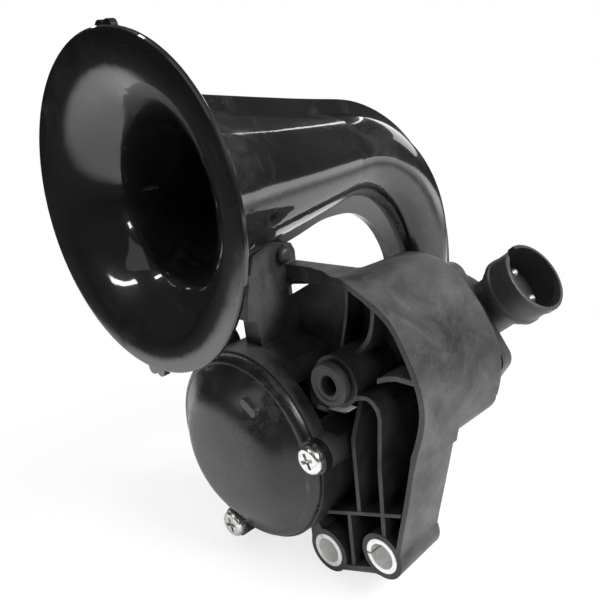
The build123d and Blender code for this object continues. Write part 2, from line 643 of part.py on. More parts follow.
with BuildPart() as trumpet_retaining_pin:
    with BuildSketch(Plane.YZ.offset(TX + 4.6)):
        with Locations((PIN_Y, PIN_Z)):
            Circle(2.7)
    extrude(amount=2.4)
    fillet(trumpet_retaining_pin.edges().group_by(Axis.X)[-1], 1.6)
    with BuildSketch(Plane.YZ.offset(TX + 4.6)):
        with Locations((PIN_Y, PIN_Z)):
            Circle(1.8)
    extrude(amount=-10.4)
    with BuildSketch(Plane.YZ.offset(TX - 4.6)):
        with Locations((PIN_Y, PIN_Z)):
            Circle(2.5)
    extrude(amount=-1.2)

# ---------------------------------------------------------------- air inlet
with BuildPart() as inlet_fitting:
    with BuildSketch(Plane.XY.offset(PZ)):
        with BuildLine():
            Polyline((PX + 3.5, -3.55), (PX + 4.9, -3.55), (PX + 5.1, -3.8), (PX + 6.7, -3.8), (PX + 7.2, -3.3),
                     (PX + 7.2, -1.3), (PX + 6.9, -1.0), (PX + 6.2, -1.0), (PX + 6.2, 0.0), (PX + 6.5, 0.0),
                     (PX + 6.5, 9.0), (PX + 5.0, 9.0), (PX + 5.0, 3.0), (PX + 3.05, 3.0), (PX + 3.05, -3.1),
                     close=True)
        make_face()
    revolve(axis=Axis((PX, 0, PZ), (0, 1, 0)), revolution_arc=360)

with BuildPart() as inlet_grip_ring:
    with BuildSketch(front(3.0)):
        with Locations((PX, PZ)):
            Circle(4.95)
            Circle(3.4, mode=Mode.SUBTRACT)
            with PolarLocations(0, 8):
                with Locations((3.7, 0)):
                    Rectangle(1.4, 0.6, mode=Mode.SUBTRACT)
    extrude(amount=-0.4)

with BuildPart() as inlet_oring:
    with BuildSketch(Plane.XY.offset(PZ)):
        with Locations((PX + 4.2, 7.2)):
            Circle(0.75)
    revolve(axis=Axis((PX, 0, PZ), (0, 1, 0)), revolution_arc=360)

with BuildPart() as inlet_spacer_ring:
    with BuildSketch(front(3.4)):
        with Locations((PX, PZ)):
            Circle(4.95)
            Circle(3.5, mode=Mode.SUBTRACT)
    extrude(amount=-2.6)

# ---------------------------------------------------------------- magnet valve
with BuildPart() as guide_tube_seal:
    with BuildSketch(Plane.XY.offset(PZ)):
        with Locations((PX + 7.6, 21.0)):
            Circle(0.68)
    revolve(axis=Axis((PX, 0, PZ), (0, 1, 0)), revolution_arc=360)

with BuildPart() as armature_guide_tube:
    with BuildSketch(Plane.XY.offset(PZ)):
        with BuildLine():
            Polyline((PX + GUIDE_R, 21.7), (PX + 9.6, 21.7), (PX + 9.6, 22.7), (PX + 5.65, 22.7), (PX + 5.65, 45.0),
                     (PX + GUIDE_R, 45.0), (PX + GUIDE_R, 21.7))
        make_face()
    revolve(axis=Axis((PX, 0, PZ), (0, 1, 0)), revolution_arc=360)

with BuildPart() as plunger:
    with BuildSketch(Plane.XY.offset(PZ)):
        with BuildLine():
            Polyline((PX, 26.6), (PX + 3.7, 26.6), (PX + 3.7, 25.4), (PX + 4.5, 25.4), (PX + PLUNGER_R, 26.0),
                     (PX + PLUNGER_R, 36.5), (PX + 2.0, 36.5), (PX + 2.0, 31.5), (PX, 31.5), (PX, 26.6))
        make_face()
    revolve(axis=Axis((PX, 0, PZ), (0, 1, 0)), revolution_arc=360)

with BuildPart() as plunger_seal:
    with BuildSketch(front(SEAT_Y + 0.02)):
        with Locations((PX, PZ)):
            Circle(3.7)
    extrude(amount=-(26.6 - SEAT_Y - 0.02))

with BuildPart() as fixed_core:
    with BuildSketch(Plane.XY.offset(PZ)):
        with BuildLine():
            Polyline((PX, 40.2), (PX + 2.0, 40.2), (PX + 2.0, 37.6), (PX + 5.12, 37.6), (PX + 5.12, 46.5),
                     (PX + 4.6, 47.0), (PX, 47.0), (PX, 40.2))
        make_face()
    revolve(axis=Axis((PX, 0, PZ), (0, 1, 0)), revolution_arc=360)

with BuildPart() as plunger_spring:
    with BuildLine():
        h1 = Helix(pitch=1.15, height=8.05, radius=1.4, center=(PX, 31.83, PZ), direction=(0, 1, 0))
    with BuildSketch(Plane(origin=h1 @ 0, z_dir=h1 % 0)):
        Circle(0.25)
    sweep(is_frenet=True)

with BuildPart() as coil_bobbin:
    with BuildSketch(Plane.XY.offset(PZ)):
        with BuildLine():
            Polyline((PX + 5.75, 24.2), (PX + 12.8, 24.2), (PX + 12.8, 25.6), (PX + 6.9, 25.6), (PX + 6.9, 40.0),
                     (PX + 12.8, 40.0), (PX + 12.8, 41.4), (PX + 5.75, 41.4), (PX + 5.75, 24.2))
        make_face()
    revolve(axis=Axis((PX, 0, PZ), (0, 1, 0)), revolution_arc=360)

with BuildPart() as coil_winding:
    with BuildSketch(front(25.6)):
        with Locations((PX, PZ)):
            Circle(12.2)
            Circle(6.9, mode=Mode.SUBTRACT)
    extrude(amount=-14.4)

with BuildPart() as solenoid_yoke:
    with BuildSketch(Plane.XY.offset(PZ - 7.5)):
        with BuildLine():
            Polyline((PX - 14.4, 22.7), (PX + 14.4, 22.7), (PX + 14.4, 42.9), (PX - 14.4, 42.9), close=True)
        make_face()
        with BuildLine():
            Polyline((PX - 12.9, 24.2), (PX + 12.9, 24.2), (PX + 12.9, 41.4), (PX - 12.9, 41.4), close=True)
        make_face(mode=Mode.SUBTRACT)
    extrude(amount=15.0)
    with BuildSketch(front(22.0)):
        with Locations((PX, PZ)):
            Circle(5.75)
    extrude(amount=-24.0, mode=Mode.SUBTRACT)

# ---------------------------------------------------------------- rear cover
BR = (17.6, 46.6)                                # fifth corner of the flange, without a screw
with BuildPart() as rear_cover:
    with BuildSketch(front(COVER_F)):
        for (x, z), r in zip(COVER_SCREWS + (BR,), (5.3, 5.2, 4.8, 5.0, 5.0)):
            with Locations((x, z)):
                Circle(r)
        make_hull()
    extrude(amount=-(COVER_B - COVER_F))
    with BuildSketch(front(COVER_B - 0.5)):
        with Locations((BX, BZ)):
            Circle(15.0)
    extrude(amount=-18.9)
    fillet(rear_cover.edges().group_by(Axis.Y)[-1], 3.0)
    # neck and bayonet collar of the connector
    with BuildSketch(con(27.0)):
        Circle(9.0)
    extrude(amount=15.0)
    with BuildSketch(Plane(origin=CMOUTH, x_dir=CAX, z_dir=CAX.cross(Vector(0, 1, 0)))):
        with BuildLine():
            Polyline((0, 0), (0, 11.6), (-0.4, 11.9), (-2.6, 11.9), (-3.0, 11.4), (-8.4, 11.4), (-9.0, 11.8), (-10.4, 11.8),
                     (-11.2, 10.9), (-12.9, 10.5), (-13.6, 9.0), (-13.6, 0), close=True)
        make_face()
    revolve(axis=Axis(CMOUTH, CAX), revolution_arc=360)
    # mouth, hollow of the cover, notch in the rim
    with BuildSketch(con(-1.0)):
        Circle(10.7)
    extrude(amount=-12.0, mode=Mode.SUBTRACT)
    with BuildSketch(front(COVER_F - 0.5)):
        with Locations((BX, BZ)):
            Circle(13.0)
    extrude(amount=-21.7, mode=Mode.SUBTRACT)
    with BuildSketch(con(0.0)):
        with Locations((-3.2, 11.4)):
            Rectangle(5.4, 4.6)
    extrude(amount=-3.0, mode=Mode.SUBTRACT)
    with BuildSketch(con(8.0)):
        with Locations((0, 4.9), (0, -4.9)):
            Circle(1.2)
    extrude(amount=-24.0, mode=Mode.SUBTRACT)
    with BuildSketch(front(COVER_B + 1)):
        with Locations(*COVER_SCREWS):
            Circle(1.75)
    extrude(amount=8.0, mode=Mode.SUBTRACT)

with BuildPart() as cover_gasket:
    with BuildSketch(front(BARREL_END)):
        for (x, z), r in zip(COVER_SCREWS + (BR,), (4.8, 4.7, 4.3, 4.5, 4.5)):
            with Locations((x, z)):
                Circle(r)
        make_hull()
        with Locations((BX, BZ)):
            Circle(14.5, mode=Mode.SUBTRACT)
        with Locations(*COVER_SCREWS):
            Circle(1.75, mode=Mode.SUBTRACT)
    extrude(amount=-(COVER_F - BARREL_END))

with BuildPart() as cover_screws:
    with BuildSketch(front(COVER_B)):
        with Locations(*COVER_SCREWS):
            Circle(3.1)
    extrude(amount=-2.2)
    fillet(cover_screws.edges().group_by(Axis.Y)[-1], 1.2)
    with BuildSketch(front(COVER_B)):
        with Locations(*COVER_SCREWS):
            Circle(1.6)
    extrude(amount=16.5)
    for x, z in COVER_SCREWS:
        with BuildSketch(front(COVER_B + 1.0)):
            with Locations((x, z)):
                Rectangle(3.4, 0.8, rotation=20)
                Rectangle(3.4, 0.8, rotation=110)
        extrude(amount=-3.0, mode=Mode.SUBTRACT)

with BuildPart() as contact_pin_upper:
    with BuildSketch(con(4.8)):
        with Locations((0, 4.9)):
            Circle(1.2)
    extrude(amount=-22.7)
    chamfer(contact_pin_upper.faces().sort_by(Axis(CMOUTH, CAX))[-1].edges(), 0.5)

with BuildPart() as contact_pin_lower:
    with BuildSketch(con(4.8)):
        with Locations((0, -4.9)):
            Circle(1.2)
    extrude(amount=-22.7)
    chamfer(contact_pin_lower.faces().sort_by(Axis(CMOUTH, CAX))[-1].edges(), 0.5)

# ---------------------------------------------------------------- files
trumpet_left_half.part.label = "trumpet_left_half"
export_step(trumpet_left_half.part, "parts/trumpet_left_half.step")
trumpet_right_half.part.label = "trumpet_right_half"
export_step(trumpet_right_half.part, "parts/trumpet_right_half.step")
bracket_housing.part.label = "bracket_housing"
export_step(bracket_housing.part, "parts/bracket_housing.step")
sound_head_cap.part.label = "sound_head_cap"
export_step(sound_head_cap.part, "parts/sound_head_cap.step")
cap_screws.part.label = "cap_screws"
export_step(cap_screws.part, "parts/cap_screws.step")
diaphragm.part.label = "diaphragm"
export_step(diaphragm.part, "parts/diaphragm.step")
diaphragm_ring.part.label = "diaphragm_ring"
export_step(diaphragm_ring.part, "parts/diaphragm_ring.step")
throat_seal.part.label = "throat_seal"
export_step(throat_seal.part, "parts/throat_seal.step")
trumpet_retaining_pin.part.label = "trumpet_retaining_pin"
export_step(trumpet_retaining_pin.part, "parts/trumpet_retaining_pin.step")
inlet_fitting.part.label = "inlet_fitting"
export_step(inlet_fitting.part, "parts/inlet_fitting.step")
inlet_grip_ring.part.label = "inlet_grip_ring"
export_step(inlet_grip_ring.part, "parts/inlet_grip_ring.step")
inlet_oring.part.label = "inlet_oring"
export_step(inlet_oring.part, "parts/inlet_oring.step")
inlet_spacer_ring.part.label = "inlet_spacer_ring"
export_step(inlet_spacer_ring.part, "parts/inlet_spacer_ring.step")
guide_tube_seal.part.label = "guide_tube_seal"
export_step(guide_tube_seal.part, "parts/guide_tube_seal.step")
armature_guide_tube.part.label = "armature_guide_tube"
export_step(armature_guide_tube.part, "parts/armature_guide_tube.step")
plunger.part.label = "plunger"
export_step(plunger.part, "parts/plunger.step")
plunger_seal.part.label = "plunger_seal"
export_step(plunger_seal.part, "parts/plunger_seal.step")
fixed_core.part.label = "fixed_core"
export_step(fixed_core.part, "parts/fixed_core.step")
plunger_spring.part.label = "plunger_spring"
export_step(plunger_spring.part, "parts/plunger_spring.step")
coil_bobbin.part.label = "coil_bobbin"
export_step(coil_bobbin.part, "parts/coil_bobbin.step")
coil_winding.part.label = "coil_winding"
export_step(coil_winding.part, "parts/coil_winding.step")
solenoid_yoke.part.label = "solenoid_yoke"
export_step(solenoid_yoke.part, "parts/solenoid_yoke.step")
rear_cover.part.label = "rear_cover"
export_step(rear_cover.part, "parts/rear_cover.step")
cover_gasket.part.label = "cover_gasket"
export_step(cover_gasket.part, "parts/cover_gasket.step")
cover_screws.part.label = "cover_screws"
export_step(cover_screws.part, "parts/cover_screws.step")
mount_sleeve_left.part.label = "mount_sleeve_left"
export_step(mount_sleeve_left.part, "parts/mount_sleeve_left.step")
mount_sleeve_right.part.label = "mount_sleeve_right"
export_step(mount_sleeve_right.part, "parts/mount_sleeve_right.step")
contact_pin_upper.part.label = "contact_pin_upper"
export_step(contact_pin_upper.part, "parts/contact_pin_upper.step")
contact_pin_lower.part.label = "contact_pin_lower"
export_step(contact_pin_lower.part, "parts/contact_pin_lower.step")
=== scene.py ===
import math
import bpy
from mathutils import Matrix, Vector


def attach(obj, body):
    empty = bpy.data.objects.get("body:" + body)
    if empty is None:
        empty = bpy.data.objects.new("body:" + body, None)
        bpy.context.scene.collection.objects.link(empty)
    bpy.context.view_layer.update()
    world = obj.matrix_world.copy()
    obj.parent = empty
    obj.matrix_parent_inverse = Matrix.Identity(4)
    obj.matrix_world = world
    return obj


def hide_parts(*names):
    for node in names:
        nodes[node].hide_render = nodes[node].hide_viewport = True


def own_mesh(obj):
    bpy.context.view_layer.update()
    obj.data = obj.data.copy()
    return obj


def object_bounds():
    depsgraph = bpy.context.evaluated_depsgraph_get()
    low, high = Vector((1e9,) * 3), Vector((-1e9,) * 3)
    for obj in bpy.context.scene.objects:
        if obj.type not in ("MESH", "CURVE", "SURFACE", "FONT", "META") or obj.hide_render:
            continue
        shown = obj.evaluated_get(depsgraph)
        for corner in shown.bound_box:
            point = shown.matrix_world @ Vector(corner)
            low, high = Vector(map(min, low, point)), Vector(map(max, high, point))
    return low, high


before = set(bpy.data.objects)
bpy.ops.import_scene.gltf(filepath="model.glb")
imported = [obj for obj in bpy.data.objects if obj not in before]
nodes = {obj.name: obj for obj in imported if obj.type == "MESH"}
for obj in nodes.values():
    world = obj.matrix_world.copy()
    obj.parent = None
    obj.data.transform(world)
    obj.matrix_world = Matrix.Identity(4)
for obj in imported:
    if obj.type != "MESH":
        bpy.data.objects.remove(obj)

cad_lo, cad_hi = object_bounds()
scene = bpy.context.scene
scene.view_settings.view_transform = "Standard"

# ------------------------------------------------------------ camera, first
cam_data = bpy.data.cameras.new("camera")
cam_data.lens = 45.6
cam_data.sensor_width = 36.0
cam_data.clip_start, cam_data.clip_end = 0.005, 60.0
cam = bpy.data.objects.new("camera", cam_data)
scene.collection.objects.link(cam)
forward = Vector((-0.692, 0.651, -0.312)).normalized()
right = forward.cross(Vector((0.0, 0.0, 1.0))).normalized()
up = right.cross(forward).normalized()
roll = math.atan2(Vector((0.706, 0.701, -0.103)).dot(up), Vector((0.706, 0.701, -0.103)).dot(right))
right, up = right * math.cos(roll) + up * math.sin(roll), up * math.cos(roll) - right * math.sin(roll)
cam.matrix_world = Matrix((
    (right.x, up.x, -forward.x, 0.14805),
    (right.y, up.y, -forward.y, -0.15130),
    (right.z, up.z, -forward.z, 0.15875),
    (0.0, 0.0, 0.0, 1.0),
))
scene.camera = cam


# ------------------------------------------------------------ material kit
class Mat:
    """A node material read in object space, where a node's place is in its mesh, so 1 unit is 1 m."""

    def __init__(self, name):
        self.m = bpy.data.materials.new(name)
        self.m.use_nodes = True
        self.t = self.m.node_tree
        self.b = self.t.nodes["Principled BSDF"]
        self.c = self.t.nodes.new("ShaderNodeTexCoord")
        self.p = self.c.outputs["Object"]

    def link(self, a, b):
        self.t.links.new(a, b)

    def set(self, **kw):
        for k, v in kw.items():
            self.b.inputs[k.replace("_", " ")].default_value = v

    def scaled(self, x, y, z, rot=(0, 0, 0)):
        n = self.t.nodes.new("ShaderNodeMapping")
        n.inputs["Scale"].default_value = (x, y, z)
        n.inputs["Rotation"].default_value = rot
        self.link(self.p, n.inputs["Vector"])
        return n.outputs["Vector"]

    def noise(self, scale, detail=3.0, rough=0.55, dist=0.0, vec=None):
        n = self.t.nodes.new("ShaderNodeTexNoise")
        n.inputs["Scale"].default_value = scale
        n.inputs["Detail"].default_value = detail
        n.inputs["Roughness"].default_value = rough
        n.inputs["Distortion"].default_value = dist
        self.link(vec or self.p, n.inputs["Vector"])
        return n.outputs["Fac"]

    def cells(self, scale, vec=None, feature="F1"):
        n = self.t.nodes.new("ShaderNodeTexVoronoi")
        n.feature = feature
        n.inputs["Scale"].default_value = scale
        self.link(vec or self.p, n.inputs["Vector"])
        return n.outputs["Distance"]

    def ramp(self, fac, *stops):
        n = self.t.nodes.new("ShaderNodeValToRGB")
        e = n.color_ramp.elements
        while len(e) < len(stops):
            e.new(0.5)
        for el, (pos, col) in zip(e, stops):
            el.position = pos
            if isinstance(col, (int, float)):
                col = (col, col, col)
            el.color = (*col, 1.0)
        self.link(fac, n.inputs["Fac"])
        return n.outputs["Color"]

    def mix(self, fac, a, b, mode="MIX"):
        n = self.t.nodes.new("ShaderNodeMix")
        n.data_type = "RGBA"
        n.blend_type = mode
        for sock, v in ((n.inputs[0], fac), (n.inputs[6], a), (n.inputs[7], b)):
            if isinstance(v, (int, float)):
                sock.default_value = v
            elif isinstance(v, tuple):
                sock.default_value = (*v, 1.0)
            else:
                self.link(v, sock)
        return n.outputs[2]

    def math(self, op, a, b=0.0, clamp=False):
        n = self.t.nodes.new("ShaderNodeMath")
        n.operation = op
        n.use_clamp = clamp
        for i, v in enumerate((a, b)):
            if isinstance(v, (int, float)):
                n.inputs[i].default_value = v
            else:
                self.link(v, n.inputs[i])
        return n.outputs[0]

    def rounded(self, radius):
        n = self.t.nodes.new("ShaderNodeBevel")
        n.samples = 4
        n.inputs["Radius"].default_value = radius
        return n.outputs["Normal"]

    def edges(self, rounded, lo=0.90, hi=0.995):
        """1 on sharp edges, 0 on plain surfaces."""
        g = self.t.nodes.new("ShaderNodeNewGeometry")
        d = self.t.nodes.new("ShaderNodeVectorMath")
        d.operation = "DOT_PRODUCT"
        self.link(rounded, d.inputs[0])
        self.link(g.outputs["Normal"], d.inputs[1])
        return self.ramp(d.outputs["Value"], (lo, 1.0), (hi, 0.0))

    def bump(self, height, distance, strength=1.0, normal=None):
        n = self.t.nodes.new("ShaderNodeBump")
        n.inputs["Strength"].default_value = strength
        n.inputs["Distance"].default_value = distance
        self.link(height, n.inputs["Height"])
        if normal is not None:
            self.link(normal, n.inputs["Normal"])
        return n.outputs["Normal"]

    def out(self, color=None, rough=None, normal=None):
        if color is not None:
            self.link(color, self.b.inputs["Base Color"])
        if rough is not None:
            self.link(rough, self.b.inputs["Roughness"])
        if normal is not None:
            self.link(normal, self.b.inputs["Normal"])
        return self.m


def gloss_black():
    """Trumpet: mirror-gloss black moulding, slightly wavy, with dust and light handling marks."""
    k = Mat("trumpet_gloss")
    k.set(IOR=1.52, Specular_IOR_Level=0.55, Coat_Weight=0.26, Coat_IOR=1.5, Coat_Roughness=0.30)
    big = k.noise(22.0, 2.0, 0.5)
    base = k.ramp(big, (0.35, (0.0065, 0.0065, 0.0062)), (0.7, (0.0125, 0.0128, 0.0125)))
    smear = k.ramp(k.noise(70.0, 6.0, 0.66, 1.1), (0.50, 0.0), (0.74, 1.0))
    where = k.ramp(k.noise(17.0, 2.0, 0.5, 0.4), (0.40, 0.0), (0.62, 1.0))
    dull = k.mix(smear, (0.0, 0.0, 0.0), where)
    base = k.mix(k.math("MULTIPLY", dull, 0.70), base, (0.042, 0.044, 0.042))
    dust = k.ramp(k.cells(640.0), (0.045, 1.0), (0.085, 0.0))
    some = k.ramp(k.noise(120.0, 1.0), (0.60, 0.0), (0.66, 1.0))
    dust = k.math("MULTIPLY", dust, some)
    base = k.mix(k.math("MULTIPLY", dust, 0.65), base, (0.20, 0.20, 0.19))
    rough = k.ramp(dull, (0.0, 0.045), (1.0, 0.26))
    rough = k.mix(dust, rough, (0.6, 0.6, 0.6))
    n = k.bump(k.noise(48.0, 1.0, 0.4), 0.00045, 0.22)
    n = k.bump(k.noise(300.0, 2.0, 0.5), 0.00003, 0.35, n)
    return k.out(base, rough, n)


def nylon(name, low, high, r_low, r_high, grain=0.00005, wear=0.10, radius=0.00045):
    """Glass-filled black nylon: mottled grey bloom, fine grain, slightly polished edges."""
    k = Mat(name)
    k.set(IOR=1.5, Specular_IOR_Level=0.42)
    round_n = k.rounded(radius)
    mott = k.ramp(k.noise(44.0, 6.0, 0.66, 0.9), (0.38, low), (0.64, high))
    fine = k.ramp(k.noise(1500.0, 2.0, 0.6), (0.35, (0.80, 0.80, 0.80)), (0.65, (1.18, 1.18, 1.18)))
    base = k.mix(1.0, mott, fine, "MULTIPLY")
    speck = k.ramp(k.noise(2600.0, 1.0, 0.5), (0.70, 0.0), (0.76, 1.0))
    base = k.mix(k.math("MULTIPLY", speck, 0.35), base, (0.10, 0.104, 0.104))
    edge = k.edges(round_n)
    patchy = k.ramp(k.noise(160.0, 3.0, 0.6), (0.35, 0.15), (0.65, 1.0))
    edge = k.math("MULTIPLY", edge, patchy)
    base = k.mix(k.math("MULTIPLY", edge, 0.65), base, (wear, wear, wear))
    rough = k.ramp(k.noise(70.0, 4.0, 0.6), (0.3, r_low), (0.7, r_high))
    rough = k.mix(k.math("MULTIPLY", edge, 0.7), rough, (0.33, 0.33, 0.33))
    n = k.bump(k.noise(1900.0, 2.0, 0.6), grain, 0.7, round_n)
    n = k.bump(k.noise(210.0, 3.0, 0.55), 0.00012, 0.35, n)
    return k.out(base, rough, n)


def cap_black():
    """Cap: semi-gloss black moulding, smudged, with fine curved scratches."""
    k = Mat("cap_semi_gloss")
    k.set(IOR=1.5, Specular_IOR_Level=0.5)
    round_n = k.rounded(0.0004)
    base = k.ramp(k.noise(30.0, 4.0, 0.6, 0.5), (0.35, (0.008, 0.008, 0.008)), (0.70, (0.020, 0.020, 0.0205)))
    smudge = k.ramp(k.noise(150.0, 6.0, 0.72, 1.0), (0.46, 0.0), (0.74, 1.0))
    where = k.ramp(k.noise(30.0, 2.0, 0.5), (0.42, 0.0), (0.60, 1.0))
    smudge = k.math("MULTIPLY", smudge, where)
    base = k.mix(k.math("MULTIPLY", smudge, 0.60), base, (0.080, 0.080, 0.078))
    drawn = k.scaled(1.0, 0.30, 0.16, (0.25, 0.7, 0.1))
    scratch = k.ramp(k.noise(420.0, 2.0, 0.5, 0.3, drawn), (0.62, 0.0), (0.72, 1.0))
    gate = k.ramp(k.noise(75.0, 2.0, 0.5), (0.50, 0.0), (0.66, 1.0))
    scratch = k.math("MULTIPLY", scratch, gate)
    base = k.mix(k.math("MULTIPLY", scratch, 0.30), base, (0.12, 0.12, 0.12))
    edge = k.edges(round_n)
    base = k.mix(k.math("MULTIPLY", edge, 0.35), base, (0.09, 0.09, 0.09))
    rough = k.ramp(k.noise(45.0, 4.0, 0.6), (0.3, 0.20), (0.7, 0.32))
    rough = k.mix(k.math("MULTIPLY", smudge, 0.7), rough, (0.5, 0.5, 0.5))
    n = k.bump(k.noise(42.0, 2.0, 0.5), 0.0005, 0.18, round_n)
    n = k.bump(k.noise(800.0, 2.0, 0.6), 0.00003, 0.5, n)
    n = k.bump(scratch, 0.00003, 0.3, n)
    return k.out(base, rough, n)


def zinc(name, low=(0.60, 0.60, 0.58), high=(0.86, 0.86, 0.85), r_low=0.16, r_high=0.36, bump=0.00007, metal=1.0):
    """Bright zinc plate: crystalline brightness changes and small dents."""
    k = Mat(name)
    k.set(Metallic=metal)
    round_n = k.rounded(0.00022)
    base = k.ramp(k.noise(520.0, 4.0, 0.62), (0.34, low), (0.66, high))
    stain = k.ramp(k.noise(240.0, 3.0, 0.6, 0.7), (0.60, 0.0), (0.74, 1.0))
    base = k.mix(k.math("MULTIPLY", stain, 0.45), base, (0.34, 0.335, 0.32))
    rough = k.ramp(k.noise(700.0, 3.0, 0.6), (0.3, r_low), (0.7, r_high))
    n = k.bump(k.noise(900.0, 3.0, 0.6), bump, 0.6, round_n)
    return k.out(base, rough, n)


def steel(name, low, high, r_low, r_high, bands=0.0, axis="Y"):
    """Drawn or turned metal with fine lines round its axis."""
    k = Mat(name)
    k.set(Metallic=1.0)
    round_n = k.rounded(0.00012)
    s = (0.05, 1.0, 0.05) if axis == "Y" else (1.0, 1.0, 1.0)
    lines = k.noise(2600.0, 2.0, 0.6, 0.0, k.scaled(*s))
    base = k.ramp(lines, (0.3, low), (0.7, high))
    tone = k.ramp(k.noise(160.0, 3.0, 0.6), (0.35, (0.82, 0.82, 0.82)), (0.65, (1.06, 1.06, 1.06)))
    base = k.mix(1.0, base, tone, "MULTIPLY")
    rough = k.ramp(k.noise(350.0, 3.0, 0.6), (0.3, r_low), (0.7, r_high))
    n = k.bump(lines, 0.000015, 0.5, round_n)
    return k.out(base, rough, n)


def rubber():
    k = Mat("black_rubber")
    k.set(IOR=1.5, Specular_IOR_Level=0.35)
    base = k.ramp(k.noise(90.0, 4.0, 0.6), (0.35, (0.010, 0.010, 0.010)), (0.68, (0.026, 0.026, 0.025)))
    bloom = k.ramp(k.noise(420.0, 3.0, 0.6), (0.58, 0.0), (0.75, 1.0))
    base = k.mix(k.math("MULTIPLY", bloom, 0.3), base, (0.07, 0.07, 0.068))
    rough = k.ramp(k.noise(260.0, 2.0), (0.3, 0.52), (0.7, 0.78))
    return k.out(base, rough, k.bump(k.noise(1500.0, 2.0), 0.00003, 0.6, k.rounded(0.0002)))


def winding():
    """Turns of enamelled copper wire, one under the other along the coil."""
    k = Mat("enamelled_copper")
    k.set(Metallic=1.0, Coat_Weight=0.6, Coat_Roughness=0.12)
    w = k.t.nodes.new("ShaderNodeTexWave")
    w.bands_direction = "Y"
    w.inputs["Scale"].default_value = 900.0
    w.inputs["Distortion"].default_value = 0.35
    k.link(k.p, w.inputs["Vector"])
    turn = w.outputs["Fac"]
    # painted shade: the colour runs dark into the grooves between turns and lighter on their crests
    base = k.ramp(turn, (0.05, (0.16, 0.045, 0.018)), (0.6, (0.62, 0.24, 0.095)), (1.0, (0.74, 0.32, 0.14)))
    tone = k.ramp(k.noise(120.0, 3.0), (0.35, (0.8, 0.8, 0.8)), (0.65, (1.08, 1.08, 1.08)))
    base = k.mix(1.0, base, tone, "MULTIPLY")
    rough = k.ramp(turn, (0.0, 0.42), (1.0, 0.22))
    return k.out(base, rough, k.bump(turn, 0.00015, 0.8))


finish = {
    "trumpet_gloss": gloss_black(),
    "housing": nylon("housing_nylon", (0.0150, 0.0158, 0.0152), (0.058, 0.0600, 0.0575), 0.36, 0.58, wear=0.13),
    "cap": cap_black(),
    "cover": nylon("cover_nylon", (0.020, 0.021, 0.022), (0.043, 0.044, 0.046), 0.38, 0.54, 0.00003, 0.12),
    "fitting": nylon("fitting_nylon", (0.024, 0.024, 0.025), (0.048, 0.049, 0.050), 0.40, 0.55, 0.00003, 0.12, 0.0003),
    "pin": nylon("pin_nylon", (0.018, 0.018, 0.019), (0.036, 0.037, 0.038), 0.42, 0.58, 0.00003, 0.10, 0.0003),
    "zinc_screw": zinc("zinc_screw"),
    "zinc_sleeve": zinc("zinc_sleeve", (0.84, 0.84, 0.83), (0.98, 0.98, 0.97), 0.34, 0.52, 0.00003, 0.65),
    "zinc_part": zinc("zinc_part", (0.55, 0.55, 0.52), (0.76, 0.76, 0.74), 0.26, 0.44, 0.00004),
    "stainless": steel("stainless", (0.50, 0.50, 0.50), (0.72, 0.72, 0.73), 0.20, 0.34),
    "contact": steel("tinned_contact", (0.86, 0.85, 0.82), (0.98, 0.97, 0.95), 0.28, 0.42),
    "rubber": rubber(),
    "winding": winding(),
}
wears = {
    "trumpet_left_half": "trumpet_gloss", "trumpet_right_half": "trumpet_gloss",
    "bracket_housing": "housing", "sound_head_cap": "cap", "rear_cover": "cover",
    "trumpet_retaining_pin": "pin", "inlet_fitting": "fitting", "inlet_spacer_ring": "fitting",
    "coil_bobbin": "fitting", "cap_screws": "zinc_screw", "cover_screws": "zinc_screw",
    "mount_sleeve_left": "zinc_sleeve", "mount_sleeve_right": "zinc_sleeve",
    "plunger": "zinc_part", "fixed_core": "zinc_part", "solenoid_yoke": "zinc_part",
    "plunger_spring": "stainless", "armature_guide_tube": "stainless", "diaphragm": "stainless",
    "inlet_grip_ring": "stainless", "contact_pin_upper": "contact", "contact_pin_lower": "contact",
    "diaphragm_ring": "rubber", "throat_seal": "rubber", "inlet_oring": "rubber",
    "guide_tube_seal": "rubber", "plunger_seal": "rubber", "cover_gasket": "rubber",
    "coil_winding": "winding",
}
for name, obj in nodes.items():
    m = finish[wears[name]]
    if not obj.material_slots:
        obj.data.materials.append(m)
    for s in obj.material_slots:
        s.material = m

# return spring of the valve, which in the valve shortens by the plunger's travel with its back end on the core: here a
# copy of the CAD spring with a mesh of its own, on the root body, and the CAD spring hidden
spring_cad = nodes["plunger_spring"]
spring = bpy.data.objects.new("return_spring", spring_cad.data.copy())
spring.matrix_world = spring_cad.matrix_world.copy()
scene.collection.objects.link(spring)
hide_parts("plunger_spring")
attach(spring, "root")
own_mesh(spring)

# ------------------------------------------------------------ floor and light
floor_z = cad_lo.z
ring_r = [0.0, 0.12, 0.25, 0.4, 0.6, 0.9, 1.4, 2.2, 4.0, 9.0, 24.0]
verts, faces, seg = [(0.0, 0.0, 0.0)], [], 64
for r in ring_r[1:]:
    for i in range(seg):
        a = 2 * math.pi * i / seg
        verts.append((r * math.cos(a), r * math.sin(a), 0.0))
for i in range(seg):
    faces.append((0, 1 + i, 1 + (i + 1) % seg))
for j in range(len(ring_r) - 2):
    a0, b0 = 1 + j * seg, 1 + (j + 1) * seg
    for i in range(seg):
        k2 = (i + 1) % seg
        faces.append((a0 + i, b0 + i, b0 + k2, a0 + k2))
mesh = bpy.data.meshes.new("floor")
mesh.from_pydata(verts, [], faces)
floor = bpy.data.objects.new("floor", mesh)
floor.location = ((cad_lo.x + cad_hi.x) / 2, (cad_lo.y + cad_hi.y) / 2, floor_z)
scene.collection.objects.link(floor)
fm = bpy.data.materials.new("pale_floor")
fm.use_nodes = True
ft = fm.node_tree
fb = ft.nodes["Principled BSDF"]
fb.inputs["Base Color"].default_value = (0.93, 0.93, 0.93, 1.0)
fb.inputs["Roughness"].default_value = 0.9
fb.inputs["Specular IOR Level"].default_value = 0.1
fe = ft.nodes.new("ShaderNodeEmission")
fe.inputs["Color"].default_value = (1.0, 1.0, 1.0, 1.0)
fe.inputs["Strength"].default_value = 1.0
